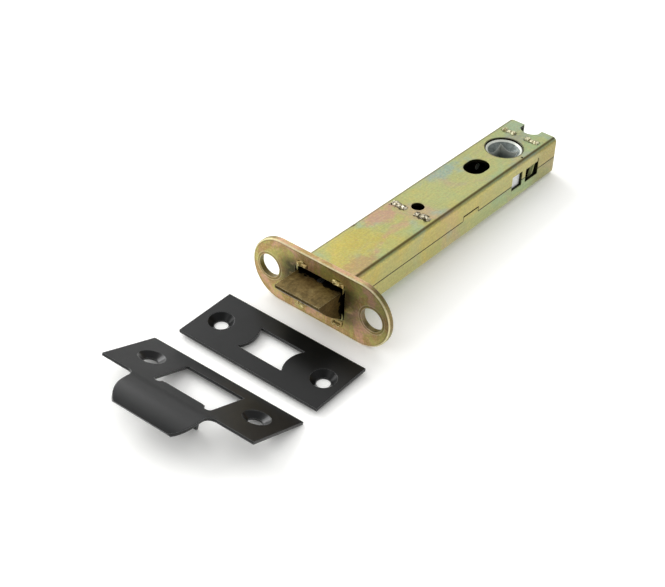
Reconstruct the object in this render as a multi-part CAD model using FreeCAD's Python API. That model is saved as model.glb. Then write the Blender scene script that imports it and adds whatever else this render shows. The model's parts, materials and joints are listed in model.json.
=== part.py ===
import FreeCAD, Part
import math
import os

# Tubular door latch with its face plate and strike plate.
# Millimetres. The origin is the middle of the forend's front face. +X runs to the tail,
# +Z runs along the follower, +Y runs across the case.

V = FreeCAD.Vector

# standard sizes of the latch
backset = 108.0
tail_behind_spindle = 20.3
overall_length = backset + tail_behind_spindle
forend_length = 60.0
forend_width = 25.0
forend_thickness = 2.0
screw_spacing = 45.0
forend_hole_diameter = 8.9
forend_edge = 0.4
spindle_square = 8.0
bolt_through_front = backset - 23.6
bolt_through_rear = backset - 12.5
bolt_through_width = 8.6

# pressed steel case, made of an upper and a lower half
case_width = 22.0
case_height = 16.0
case_sheet = 1.2
case_bend = 2.0
case_bend_inside = 0.8
inside_width = case_width - 2 * case_sheet
inside_height = case_height - 2 * case_sheet
over = 4.0
case_reach = case_height / 2 + over
seam_level = -0.3
seam_gap = 0.16
seam_step_start = 67.5
seam_step_end = 76.8
seam_step_height = 1.7
seam_step_slack = 0.45
follower_hole_diameter = 14.5
peep_hole_diameter = 4.9
peep_hole_x = 53.9
tail_notch_half_width = 4.1
tail_notch_radius = 4.6
tail_notch_centre_x = overall_length - 1.0
tail_edge = 0.7
fold_relief = 0.4
fold_relief_play = 0.2
fold_relief_height = inside_height + fold_relief_play
pilot_dot_radius = 0.5
pilot_dot_x = backset - 1.1
pilot_dot_y = -9.0
edge_nick_x = (27.3, 31.3)
edge_nick_half = 0.8

# windows in the case's sides
window_bottom = -2.6
shoe_window_lead = 9.4
shoe_window_length = 6.8
shoe_window_front = backset - shoe_window_lead
shoe_window_rear = shoe_window_front + shoe_window_length
shoe_window_top = 3.6
leaf_window_lead = 0.4
leaf_window_length = 8.6
leaf_window_front = backset - leaf_window_lead
leaf_window_rear = leaf_window_front + leaf_window_length
leaf_window_top = 3.2
leaf_slit_width = 0.7
leaf_slit_top = 4.6

# mouth of the forend
mouth_edge_inset = 0.05
mouth_half_width = case_width / 2 - mouth_edge_inset
mouth_half_height = case_height / 2 - 1.4
mouth_corner = 1.0
mouth_lobe_radius = 2.5
mouth_lobe_inset = 3.0
mouth_lobe_drop = 2.35
mouth_lobe_y = case_width / 2 - mouth_lobe_inset
mouth_lobe_z = case_height / 2 - mouth_lobe_drop
tab_slack = 0.08
tab_proud = 0.6
tab_head_half_width = 2.3
tab_head_over = 0.35
tab_head_depth = 1.6
tab_foot_over = 1.4
tab_foot_depth = 2.2
tab_head_top = case_height / 2 + tab_head_over
tab_foot_bottom = -case_height / 2 - tab_foot_over
tab_head_high = (tab_head_top - tab_head_depth, tab_head_top)
tab_head_low = (tab_foot_bottom, tab_foot_bottom + tab_foot_depth)
tab_head_edge = 0.35

# latch bolt and its travel
bolt_side_gap = 0.2
bolt_width = inside_width - 2 * bolt_side_gap
bolt_top_gap = 1.8
bolt_bottom_gap = 0.6
bolt_top = inside_height / 2 - bolt_top_gap
bolt_bottom = -inside_height / 2 + bolt_bottom_gap
bolt_tip_x = -11.9
bolt_tip_height = 1.1
bolt_heel_x = -0.4
bolt_belly = 0.45
bolt_rear_x = 15.0
bolt_throw = 11.0
bolt_centre_z = (bolt_top + bolt_bottom) / 2
bolt_pocket_x = 3.0
bolt_pocket_radius = 4.8
stem_radius = 2.5
stem_front_x = -2.0
stem_rear_x = 32.6
stem_slack = 0.06
pin_radius = 1.45
pin_slack = 0.03
pin_x = 0.4
pin_recess = 0.35
collar_x = 28.56
collar_length = 2.6

# drawbar: a folded bow with a bulkhead, two straps and two upright flags
bulkhead_x = 27.0
strap_sheet = 1.5
strap_side_gap = 1.4
strap_outer_y = inside_width / 2 - strap_side_gap
strap_inner_y = strap_outer_y - strap_sheet
strap_half_height = 3.3
flag_level_gap = 0.5
bulkhead_level_gap = 1.4
flag_half_height = inside_height / 2 - flag_level_gap
bulkhead_half_height = inside_height / 2 - bulkhead_level_gap
bulkhead_corner = 0.8
shoe_lead = 8.4
shoe_length = 6.6
shoe_front_x = backset - shoe_lead
shoe_rear_x = shoe_front_x + shoe_length
shoe_side_gap = 0.18
shoe_outer_y = inside_width / 2 - shoe_side_gap
shoe_edge = 0.4
shoe_bottom = -3.4
shoe_top = 3.4
shoe_rivet_radius = 1.3

# follower: square hub with two pairs of cam lobes
hub_radius = 6.4
journal_radius = 7.15
journal_level_gap = 0.3
hub_sink = 0.6
journal_start = inside_height / 2 - journal_level_gap
hub_face = case_height / 2 - hub_sink
lobe_radius = inside_width / 2 - 0.2
lobe_level_gap = 0.45
lobe_thickness = 2.55
lobe_top = inside_height / 2 - lobe_level_gap
lobe_bottom = lobe_top - lobe_thickness
lobe_end_angle = 62.0
dish_radius = 6.55
dish_depth = 3.0
flag_clearance = 0.25
lobe_reach = bolt_throw / 2
flag_x = backset - lobe_reach + flag_clearance
flag_ear_y = inside_width / 2 - 0.3
flag_ear_gap = 0.12

# bridges across the case
bridge_sheet = 1.6
bridge_slack = 0.05
front_bridge_x = 48.9
rear_bridge_from_tail = 10.0
rear_bridge_x = overall_length - rear_bridge_from_tail
rear_bridge_hole_radius = 2.5
bridge_strap_gap = 0.3
front_tab_inner = 1.9
front_tab_outer = inside_width / 2 - 1.4
rear_tab_inner = 2.4
rear_tab_outer = inside_width / 2 - 1.8
lump_count = 3
lump_spread = 0.42
lump_height = 0.55

# coil springs and washers
lever_wire = 1.3
lever_turns = 6
bolt_wire = 1.0
bolt_coil_radius = 4.0
bolt_turns = 9
coil_steps = 9
wire_sides = 4
washer_sheet = 0.8
bolt_washer_radius = 4.5
lever_washer_side_gap = 0.7
lever_washer_level_gap = 0.6
room_between_straps = strap_inner_y - lever_washer_side_gap
room_between_sheets = inside_height / 2 - lever_washer_level_gap
lever_washer_radius = min(room_between_straps, room_between_sheets)
lever_coil_radius = lever_washer_radius - lever_wire / 2
collar_side_gap = 2.2
collar_radius = lever_washer_radius - collar_side_gap
bridge_hole_gap = 0.85
bridge_hole_radius = lever_coil_radius - bridge_hole_gap
washer_slack = 0.7
leaf_sheet = 0.5
leaf_half_width = inside_width / 2 - 0.4
leaf_arm_width = 1.4
leaf_top = 5.4
leaf_web_bottom = 3.0
leaf_foot = 3.1
leaf_knee = 1.3
leaf_foot_level = -5.2
leaf_knee_level = -1.2

# loose plates, lying on the surface that the latch rests on
rest_height = (forend_width - case_height) / 2
rest_tilt = math.degrees(math.atan2(rest_height, overall_length - forend_thickness))
plate_hole_diameter = 4.9
face_plate_length = 60.0
face_plate_width = 25.0
face_plate_sheet = 1.2
face_plate_rise = 1.4
face_plate_sink = 9.2
sink_land = 0.6
sink_shoulder = 0.9
face_plate_window_length = 19.4
face_plate_window_width = 12.0
face_plate_window_bow = 10.0
face_plate_window_bow_depth = 2.0
face_plate_window_corner = 0.6
face_plate_along = -23.2
face_plate_across = 0.85
face_plate_turn = 0.57
strike_length = 64.4
strike_width = 25.2
strike_sheet = 1.0
strike_rise = 1.3
strike_sink = 9.5
strike_hole_row = 12.0
strike_hole_start = 5.6
strike_hole_end = 21.5
strike_hole_half_length = 12.1
strike_corner_relief = 1.5
strike_along = -42.37
strike_across = 3.3
strike_turn = 1.51
strike_lean = 21.67
strike_tab_half_width = 8.0
strike_tab_edge = 0.8
tongue_half_width = 16.0
tongue_offset = -1.6
tongue_bend_start = 25.0
tongue_bend_radius = 21.0
tongue_bend_angle = 40.0
tongue_corner = 7.5
tongue_root = 3.0


def block(x0, x1, y0, y1, z0, z1):
    return Part.makeBox(x1 - x0, y1 - y0, z1 - z0, V(x0, y0, z0))


def rod(radius, start, end):
    way = end - start
    return Part.makeCylinder(radius, way.Length, start, way)


def upright(radius, x, y, z0, z1):
    return rod(radius, V(x, y, z0), V(x, y, z1))


def sheet_prism(outline, depth):
    wire = Part.makePolygon(outline + [outline[0]])
    return Part.Face(wire).extrude(depth)


def rounded(shape, radius, chosen):
    return shape.makeFillet(radius, [e for e in shape.Edges if chosen(e)])


def chamfered(shape, size, chosen):
    return shape.makeChamfer(size, [e for e in shape.Edges if chosen(e)])


def runs_along(edge, way):
    if len(edge.Vertexes) < 2:
        return False
    line = edge.Vertexes[1].Point - edge.Vertexes[0].Point
    return line.Length > 0 and line.cross(way).Length < 1e-6 * line.Length


def round_bar(width, height, corner, x0, x1):
    bar = block(x0, x1, -width / 2, width / 2, -height / 2, height / 2)
    return rounded(bar, corner, lambda e: runs_along(e, V(1, 0, 0)))


def flipped(shape, across):
    return shape.mirror(V(0, 0, 0), across)


def save(shape, node):
    solid = shape.removeSplitter()
    if solid.ShapeType != "Solid" and len(solid.Solids) == 1:
        solid = solid.Solids[0]
    solid.exportStep("parts/" + node + ".step")


# Forend: oblong plate with the bolt's mouth and two screw holes.
def forend():
    straight = forend_length / 2 - forend_width / 2
    plate = block(0, forend_thickness, -straight, straight, -forend_width / 2, forend_width / 2)
    for side in (-1, 1):
        end = rod(forend_width / 2, V(0, side * straight, 0), V(forend_thickness, side * straight, 0))
        plate = plate.fuse(end)
    plate = plate.removeSplitter()
    plate = chamfered(plate, forend_edge, lambda e: e.BoundBox.XMax < 0.01)
    rear = forend_thickness + over
    mouth = block(-over, rear, -mouth_half_width, mouth_half_width, -mouth_half_height, mouth_half_height)
    mouth = rounded(mouth, mouth_corner, lambda e: runs_along(e, V(1, 0, 0)))
    for side in (-1, 1):
        for level in (-1, 1):
            y = side * mouth_lobe_y
            z = level * mouth_lobe_z
            mouth = mouth.fuse(rod(mouth_lobe_radius, V(-over, y, z), V(rear, y, z)))
        y = side * screw_spacing / 2
        plate = plate.cut(rod(forend_hole_diameter / 2, V(-over, y, 0), V(rear, y, 0)))
    return plate.cut(mouth)


# Case: two folded halves that meet at a stepped seam.
def seam_region(lift):
    # everything above the seam; lift is the half gap between the halves
    low = seam_level + lift
    step = low + seam_step_height + (seam_step_slack if lift > 0 else 0)
    ends = lift if lift > 0 else 0.0
    a = seam_step_start - ends
    b = seam_step_end + ends
    y = -case_width / 2 - over
    front = -over
    tail = overall_length + over
    outline = [V(front, y, low), V(a, y, low), V(a, y, step), V(b, y, step), V(b, y, low)]
    outline += [V(tail, y, low), V(tail, y, case_reach), V(front, y, case_reach)]
    return sheet_prism(outline, V(0, -2 * y, 0))


def case_windows():
    # two openings on each side, low in the wall, with a post between them
    cuts = []
    for side in (-1, 1):
        outer = side * (case_width / 2 + over)
        inner = side * (inside_width / 2 - 0.5)
        y0 = min(outer, inner)
        y1 = max(outer, inner)
        cuts.append(block(shoe_window_front, shoe_window_rear, y0, y1, window_bottom, shoe_window_top))
        cuts.append(block(leaf_window_front, leaf_window_rear, y0, y1, window_bottom, leaf_window_top))
        slit_front = leaf_window_rear - leaf_slit_width
        cuts.append(block(slit_front, leaf_window_rear, y0, y1, window_bottom, leaf_slit_top))
    return cuts


def through_slots():
    # openings that pass straight through both halves
    radius = bolt_through_width / 2
    first = bolt_through_front + radius
    second = bolt_through_rear - radius
    reach = case_reach
    cuts = [upright(radius, first, 0, -reach, reach), upright(radius, second, 0, -reach, reach)]
    cuts.append(block(first, second, -radius, radius, -reach, reach))
    cuts.append(upright(follower_hole_diameter / 2, backset, 0, -reach, reach))
    cuts.append(upright(peep_hole_diameter / 2, peep_hole_x, 0, -reach, reach))
    half = tail_notch_half_width
    tail = overall_length + over
    notch = upright(tail_notch_radius, tail_notch_centre_x, 0, -reach, reach)
    start = tail_notch_centre_x - tail_notch_radius
    cuts.append(notch.common(block(start, tail, -half, half, -reach, reach)))
    cuts.append(block(tail_notch_centre_x, tail, -half, half, -reach, reach))
    return cuts


def tab_slots():
    cuts = []
    for x, inner, outer in bridge_tabs():
        for side in (-1, 1):
            y0 = min(side * inner, side * outer) - bridge_slack
            y1 = max(side * inner, side * outer) + bridge_slack
            x1 = x + bridge_sheet + bridge_slack
            cuts.append(block(x - bridge_slack, x1, y0, y1, -case_reach, case_reach))
    return cuts


def bridge_tabs():
    front = (front_bridge_x, front_tab_inner, front_tab_outer)
    rear = (rear_bridge_x, rear_tab_inner, rear_tab_outer)
    return (front, rear)


def case_body():
    tail = overall_length
    outer = round_bar(case_width, case_height, case_bend, forend_thickness, tail)
    outer = rounded(outer, tail_edge, lambda e: e.BoundBox.XMin > tail - 0.01 and runs_along(e, V(0, 1, 0)))
    hollow = round_bar(inside_width, inside_height, case_bend_inside, -over, tail - case_sheet)
    body = outer.cut(hollow)
    cuts = case_windows() + through_slots() + tab_slots()
    for side in (-1, 1):
        y = side * (inside_width / 2 - 0.2)
        half = fold_relief / 2
        high = fold_relief_height / 2
        cuts.append(block(tail - case_sheet, tail + over, y - half, y + half, -high, high))
    cuts.append(upright(pilot_dot_radius, pilot_dot_x, pilot_dot_y, inside_height / 2 - 1, case_reach))
    for x in edge_nick_x:
        y = case_width / 2 - edge_nick_half
        z = case_height / 2 - 1.0
        cuts.append(block(x - edge_nick_half, x + edge_nick_half, y, y + over, z, case_reach))
    for cut in cuts:
        body = body.cut(cut)
    return body


def front_tabs(level):
    # tabs that reach through the forend and are peened over its face
    wall = round_bar(case_width, case_height, case_bend, 0, forend_thickness)
    rear = forend_thickness + over
    wall = wall.cut(round_bar(inside_width, inside_height, case_bend_inside, -over, rear))
    z0, z1 = tab_head_high if level > 0 else tab_head_low
    shapes = []
    for side in (-1, 1):
        y = side * mouth_lobe_y
        z = level * mouth_lobe_z
        neck = rod(mouth_lobe_radius - tab_slack, V(0, y, z), V(forend_thickness, y, z))
        shapes.append(wall.common(neck))
        head = block(-tab_proud, 0, y - tab_head_half_width, y + tab_head_half_width, z0, z1)
        head = chamfered(head, tab_head_edge, lambda e: e.BoundBox.XMax < 0.01 - tab_proud)
        shapes.append(head)
    return shapes


def case_half(level):
    body = case_body()
    if level > 0:
        half = body.common(seam_region(seam_gap / 2))
    else:
        half = body.cut(seam_region(-seam_gap / 2))
    half = half.Solids[0]
    for tab in front_tabs(level):
        half = half.fuse(tab.Solids[0])
    return half


# Bridges: cross plates held by tabs that are hammered over outside the case.
def lump(base, crown):
    # four-sided lump of metal between a lower and a smaller upper outline
    faces = [Part.Face(Part.makePolygon(ring + [ring[0]])) for ring in (base, crown)]
    for i in range(4):
        j = (i + 1) % 4
        faces.append(Part.Face(Part.makePolygon([base[i], base[j], crown[j], crown[i], base[i]])))
    return Part.Solid(Part.Shell(faces))


def hammered_head(x, y0, y1, level):
    # rough row of small lumps of uneven height and lean, run together
    lumps = []
    pitch = (y1 - y0) / lump_count
    top = case_height / 2
    rear = x + bridge_sheet
    for i in range(lump_count):
        wave = math.sin(2.3 * i + 1.7 * x + 3.0 * level)
        near = y0 + pitch * i - 0.13
        far = near + pitch + 0.3
        foot = top - 0.3
        front = x - lump_spread - 0.2 * math.cos(3.1 * i + x)
        base = [V(front, near, foot), V(rear + lump_spread - 0.2 * wave, near, foot)]
        base += [V(rear + lump_spread + 0.1 * wave, far, foot), V(front + 0.1, far, foot)]
        middle = V(x + bridge_sheet / 2, (near + far) / 2, foot)
        rise = V(0, 0, 0.3 + lump_height + 0.16 * wave)
        crown = [middle + (p - middle) * (0.62 + 0.1 * wave) + rise for p in base]
        lumps.append(lump(base, crown))
    head = lumps[0].fuse(lumps[1:])
    head = head.common(block(x - over, rear + over, y0 - 1, y1 + 1, top, top + over))
    return head if level > 0 else flipped(head, V(0, 0, 1))


def bridge(x, inner, outer):
    half_y = inside_width / 2 - bridge_slack
    half_z = inside_height / 2 - bridge_slack
    plate = block(x, x + bridge_sheet, -half_y, half_y, -half_z, half_z)
    plate = rounded(plate, case_bend_inside + 0.1, lambda e: runs_along(e, V(1, 0, 0)))
    for side in (-1, 1):
        y0 = min(side * inner, side * outer)
        y1 = max(side * inner, side * outer)
        plate = plate.fuse(block(x, x + bridge_sheet, y0, y1, -case_height / 2, case_height / 2))
        for level in (-1, 1):
            plate = plate.fuse(hammered_head(x, y0, y1, level))
    return plate


def front_bridge():
    plate = bridge(front_bridge_x, front_tab_inner, front_tab_outer)
    x0 = front_bridge_x - over
    x1 = front_bridge_x + bridge_sheet + over
    inner = strap_inner_y - bridge_strap_gap
    high = strap_half_height + bridge_strap_gap
    for side in (-1, 1):
        y0 = min(side * inner, side * case_width / 2)
        y1 = max(side * inner, side * case_width / 2)
        plate = plate.cut(block(x0, x1, y0, y1, -high, high))
    return plate.cut(rod(bridge_hole_radius, V(x0, 0, bolt_centre_z), V(x1, 0, bolt_centre_z)))


def rear_bridge():
    plate = bridge(rear_bridge_x, rear_tab_inner, rear_tab_outer)
    hole = rod(rear_bridge_hole_radius, V(rear_bridge_x - over, 0, 0), V(rear_bridge_x + over, 0, 0))
    return plate.cut(hole)


def return_leaf():
    # a strip across the rear bridge with two bowed arms that lean towards the flags
    face = rear_bridge_x
    half = leaf_half_width
    web = block(face - leaf_sheet, face, -half, half, leaf_web_bottom, leaf_top)
    foot = V(face - leaf_foot, 0, leaf_foot_level)
    knee = V(face - leaf_knee, 0, leaf_knee_level)
    head = V(face - leaf_sheet, 0, leaf_web_bottom + 0.4)
    step = V(leaf_sheet, 0, 0)
    front = Part.Arc(head, knee, foot).toShape()
    back = Part.Arc(foot + step, knee + step, head + step).toShape()
    ends = [Part.makeLine(foot, foot + step), Part.makeLine(head + step, head)]
    outline = Part.Wire(Part.__sortEdges__([front, ends[0], back, ends[1]]))
    leaf = web
    for start in (-half, half - leaf_arm_width):
        arm = Part.Face(outline).extrude(V(0, leaf_arm_width, 0))
        arm.translate(V(0, start, 0))
        leaf = leaf.fuse(arm)
    return leaf


# Follower: square hub that turns in the case, with cam lobes above and below.
def lobe(side):
    # its rear flank lies along the flag at rest, so the tip pushes for the whole turn
    def rim(angle):
        turn = math.radians(angle)
        return V(-lobe_radius * math.sin(turn), side * lobe_radius * math.cos(turn), 0)

    start = math.degrees(math.asin(lobe_reach / lobe_radius))
    tip = rim(start)
    end = rim(lobe_end_angle)
    root_back = V(tip.x, side * 1.5, 0)
    root_front = V(-hub_radius + 0.4, side * 0.5, 0)
    crest = rim((start + lobe_end_angle) / 2)
    edges = [Part.makeLine(root_back, tip), Part.Arc(tip, crest, end).toShape()]
    edges += [Part.makeLine(end, root_front), Part.makeLine(root_front, root_back)]
    solid = Part.Face(Part.Wire(edges)).extrude(V(0, 0, lobe_top - lobe_bottom))
    solid.translate(V(backset, 0, lobe_bottom))
    return solid


def follower():
    hub = upright(hub_radius, backset, 0, -journal_start, journal_start)
    for level in (-1, 1):
        journal = upright(journal_radius, backset, 0, journal_start, hub_face)
        group = journal.fuse([lobe(side) for side in (-1, 1)])
        if level < 0:
            group = flipped(group, V(0, 0, 1))
        hub = hub.fuse(group)
    half = spindle_square / 2
    hub = hub.cut(block(backset - half, backset + half, -half, half, -case_reach, case_reach))
    floor = V(backset, 0, hub_face - dish_depth)
    for level in (-1, 1):
        dish = Part.makeCone(half, dish_radius, dish_depth, floor, V(0, 0, 1))
        if level < 0:
            dish = flipped(dish, V(0, 0, 1))
        hub = hub.cut(dish)
    return hub


# Drawbar: bulkhead, straps and flags folded from one strip.
def drawbar():
    outer = strap_outer_y
    rear = flag_x + strap_sheet
    high = bulkhead_half_height
    bar = block(bulkhead_x, bulkhead_x + strap_sheet, -outer, outer, -high, high)
    bar = rounded(bar, bulkhead_corner, lambda e: runs_along(e, V(1, 0, 0)))
    for side in (-1, 1):
        y0 = min(side * strap_inner_y, side * outer)
        y1 = max(side * strap_inner_y, side * outer)
        strap = block(bulkhead_x, rear, y0, y1, -strap_half_height, strap_half_height)
        flag = block(flag_x, rear, y0, y1, -flag_half_height, flag_half_height)
        ear_y0 = min(side * strap_inner_y, side * flag_ear_y)
        ear_y1 = max(side * strap_inner_y, side * flag_ear_y)
        for level in (-1, 1):
            z0 = min(level * (shoe_top + flag_ear_gap), level * flag_half_height)
            z1 = max(level * (shoe_top + flag_ear_gap), level * flag_half_height)
            flag = flag.fuse(block(flag_x, rear, ear_y0, ear_y1, z0, z1))
        hole = rod(shoe_rivet_radius, V(shoe_x(), y0 - 1, 0), V(shoe_x(), y1 + 1, 0))
        bar = bar.fuse([strap, flag]).cut(hole)
    bore_start = V(bulkhead_x - over, 0, bolt_centre_z)
    return bar.cut(rod(stem_radius + stem_slack, bore_start, bore_start + V(2 * over, 0, 0)))


def shoe_x():
    return (shoe_front_x + flag_x) / 2


def shoe(side):
    # sliding pad outside the strap, with a stub that is pressed through it
    inner = strap_outer_y
    pad = block(shoe_front_x, shoe_rear_x, inner, shoe_outer_y, shoe_bottom, shoe_top)
    pad = chamfered(pad, shoe_edge, lambda e: e.BoundBox.YMin > shoe_outer_y - 0.01)
    stub = rod(shoe_rivet_radius, V(shoe_x(), strap_inner_y - 0.4, 0), V(shoe_x(), inner, 0))
    pad = pad.fuse(stub)
    return pad if side > 0 else flipped(pad, V(0, 1, 0))


# Bolt: flat on top, ramped underneath, with a spring pocket in its back.
def latch_bolt():
    half = bolt_width / 2
    nose = V(bolt_tip_x, -half, bolt_top - bolt_tip_height)
    heel = V(bolt_heel_x, -half, bolt_bottom)
    belly = (nose + heel) * 0.5 + V(-bolt_belly, 0, -bolt_belly)
    edges = [Part.Arc(nose, belly, heel).toShape()]
    corners = [heel, V(bolt_rear_x, -half, bolt_bottom), V(bolt_rear_x, -half, bolt_top)]
    corners += [V(bolt_tip_x, -half, bolt_top), nose]
    for a, b in zip(corners, corners[1:]):
        edges.append(Part.makeLine(a, b))
    head = Part.Face(Part.Wire(edges)).extrude(V(0, bolt_width, 0))
    z = bolt_centre_z
    head = head.cut(rod(bolt_pocket_radius, V(bolt_pocket_x, 0, z), V(bolt_rear_x + 1, 0, z)))
    head = head.cut(rod(stem_radius, V(stem_front_x, 0, z), V(bolt_pocket_x + 1, 0, z)))
    return head.cut(upright(pin_radius, pin_x, 0, bolt_bottom - 1, bolt_top + 1))


def bolt_stem():
    z = bolt_centre_z
    stem = rod(stem_radius, V(stem_front_x, 0, z), V(stem_rear_x, 0, z))
    return stem.cut(upright(pin_radius, pin_x, 0, bolt_bottom, bolt_top))


def bolt_pin():
    return upright(pin_radius - pin_slack, pin_x, 0, bolt_bottom + pin_recess, bolt_top - pin_recess)


def stem_collar():
    z = bolt_centre_z
    rear = collar_x + collar_length
    ring = rod(collar_radius, V(collar_x, 0, z), V(rear, 0, z))
    return ring.cut(rod(stem_radius, V(collar_x - over, 0, z), V(rear + over, 0, z)))


def washer(x, outer, inner, z):
    disc = rod(outer, V(x, 0, z), V(x + washer_sheet, 0, z))
    return disc.cut(rod(inner, V(x - over, 0, z), V(x + over, 0, z)))


# Coil spring along X with closed ends.
def coil(x0, x1, radius, wire, turns, z):
    per_turn = coil_steps
    steps = turns * per_turn
    closed = per_turn
    free = (x1 - x0 - wire) - 2 * wire
    rings = []
    for i in range(steps + 1):
        lead = min(i, closed) * wire / per_turn + max(0, i - (steps - closed)) * wire / per_turn
        share = min(max(i - closed, 0), steps - 2 * closed) / (steps - 2 * closed)
        along = x0 + wire / 2 + lead + free * share
        angle = 2 * math.pi * i / per_turn
        out = V(0, math.cos(angle), math.sin(angle))
        middle = V(along, 0, z) + out * radius
        ring = []
        for k in range(wire_sides):
            turn = 2 * math.pi * k / wire_sides
            ring.append(middle + out * (math.cos(turn) * wire / 2) + V(math.sin(turn) * wire / 2, 0, 0))
        rings.append(Part.makePolygon(ring + [ring[0]]))
    return Part.makeLoft(rings, True, True)


# Loose plates: drawn flat, then laid on the resting surface.
def laid_down(shape, along, across, turn):
    shape.rotate(V(0, 0, 0), V(0, 0, 1), turn)
    shape.translate(V(along, across, 0))
    shape.rotate(V(0, 0, 0), V(0, 1, 0), -rest_tilt)
    drop = forend_width / 2 + forend_thickness * math.tan(math.radians(rest_tilt))
    shape.translate(V(0, 0, -drop))
    return shape


def pressed_sink(plate, x, y, sheet, rise, sink):
    # dimple pressed down round the screw hole, with a cone for the screw head
    hole = plate_hole_diameter / 2
    rim = sink / 2
    outside = Part.makeCone(hole + sink_shoulder, rim + sink_land, rise, V(x, y, -rise), V(0, 0, 1))
    depth = sheet + rise - sink_land
    inside = Part.makeCone(hole, rim, depth, V(x, y, sheet - depth), V(0, 0, 1))
    plate = plate.fuse(outside).cut(inside)
    return plate.cut(upright(hole, x, y, -rise - over, sheet + over))


def face_plate():
    half_x = face_plate_width / 2
    half_y = face_plate_length / 2
    plate = block(-half_x, half_x, -half_y, half_y, 0, face_plate_sheet)
    for side in (-1, 1):
        y = side * screw_spacing / 2
        plate = pressed_sink(plate, 0, y, face_plate_sheet, face_plate_rise, face_plate_sink)
    wide = face_plate_window_width / 2
    long = face_plate_window_length / 2
    window = block(-wide, wide, -long, long, -over, over)
    window = rounded(window, face_plate_window_corner, lambda e: runs_along(e, V(0, 0, 1)))
    for side in (-1, 1):
        y = side * (long - face_plate_window_bow_depth + face_plate_window_bow)
        window = window.cut(upright(face_plate_window_bow, 0, y, -2 * over, 2 * over))
    plate = plate.cut(window)
    plate.translate(V(0, 0, face_plate_rise))
    return laid_down(plate, face_plate_along, face_plate_across, face_plate_turn)


def tongue():
    # lip that curls down from the plate's front edge, cut to its outline from above
    top = strike_sheet
    span = V(0, strike_length, 0)
    start = V(0, -strike_length / 2, 0)
    radius = tongue_bend_radius
    angle = math.radians(tongue_bend_angle)
    reach = radius * math.sin(angle)
    centre = V(tongue_bend_start, 0, top - radius)
    curl = Part.makeCylinder(radius, strike_length, centre + start, V(0, 1, 0))
    curl = curl.cut(Part.makeCylinder(radius - top, strike_length, centre + start, V(0, 1, 0)))
    far = centre + V(2 * reach, 0, 2 * radius * math.cos(angle))
    high = centre + V(0, 0, 3 * radius)
    curl = curl.common(sheet_prism([centre + start, high + start, far + start], span))
    half = strike_length / 2
    edge = strike_width
    inner = edge - over
    flat = block(inner, tongue_bend_start, -half, half, 0, top)
    end = tongue_bend_start + reach
    left = tongue_offset - tongue_half_width
    right = tongue_offset + tongue_half_width
    outline = block(inner, end + 0.5, left, right, -radius, over)
    outline = rounded(outline, tongue_corner, lambda e: runs_along(e, V(0, 0, 1)) and e.BoundBox.XMin > end)
    root = block(edge - 1, edge + tongue_root, left - tongue_root, right + tongue_root, -radius, over)
    for y in (left - tongue_root, right + tongue_root):
        root = root.cut(upright(tongue_root, edge + tongue_root, y, -radius - 1, over + 1))
    return curl.fuse(flat).common(outline.fuse(root))


def strike_plate():
    half = strike_length / 2
    plate = block(0, strike_width, -half, half, 0, strike_sheet)
    plate = plate.fuse(tongue())
    for side in (-1, 1):
        y = side * screw_spacing / 2
        plate = pressed_sink(plate, strike_hole_row, y, strike_sheet, strike_rise, strike_sink)
    wide = strike_hole_half_length
    hole = block(strike_hole_start, strike_hole_end, -wide, wide, -over, over)
    for side in (-1, 1):
        y = side * (wide - strike_corner_relief)
        hole = hole.fuse(upright(strike_corner_relief, strike_hole_end, y, -over, over))
    plate = plate.cut(hole)
    front = strike_hole_end + 0.2
    back = front - strike_sheet
    top = strike_sheet
    depth = back * math.tan(math.radians(strike_lean))
    tab = block(back, front, -strike_tab_half_width, strike_tab_half_width, -depth, top)

    def upper_back(edge):
        return edge.BoundBox.XMax < back + 0.01 and edge.BoundBox.ZMin > top - 0.01

    tab = rounded(tab, strike_tab_edge, upper_back)
    plate = plate.fuse(tab)
    plate.rotate(V(0, 0, 0), V(0, 0, 1), 180)
    plate.rotate(V(0, 0, 0), V(0, 1, 0), strike_lean)
    return laid_down(plate, strike_along, strike_across, strike_turn)


os.makedirs("parts", exist_ok=True)

save(forend(), "forend")
save(case_half(1), "case_top")
save(case_half(-1), "case_bottom")
save(front_bridge(), "front_bridge")
save(rear_bridge(), "rear_bridge")
save(return_leaf(), "return_leaf")
save(follower(), "follower")
save(drawbar(), "drawbar")
save(shoe(1), "shoe_left")
save(shoe(-1), "shoe_right")
save(latch_bolt(), "latch_bolt")
save(bolt_stem(), "bolt_stem")
save(bolt_pin(), "bolt_pin")
save(stem_collar(), "stem_collar")

bolt_washer_x = bulkhead_x - washer_sheet
lever_washer_x = bulkhead_x + strap_sheet
lever_spring_x = lever_washer_x + washer_sheet
bolt_washer = washer(bolt_washer_x, bolt_washer_radius, stem_radius + 2 * stem_slack, bolt_centre_z)
save(bolt_washer, "bolt_spring_washer")
lever_washer = washer(lever_washer_x, lever_washer_radius, collar_radius + washer_slack, 0)
save(lever_washer, "lever_spring_washer")
bolt_coil = coil(bolt_pocket_x, bolt_washer_x, bolt_coil_radius, bolt_wire, bolt_turns, bolt_centre_z)
save(bolt_coil, "bolt_spring")
lever_coil = coil(lever_spring_x, front_bridge_x, lever_coil_radius, lever_wire, lever_turns, 0)
save(lever_coil, "lever_spring")
save(face_plate(), "face_plate")
save(strike_plate(), "strike_plate")
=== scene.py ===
import json
import math

import bmesh
import bpy
from mathutils import Matrix, Vector


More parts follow.
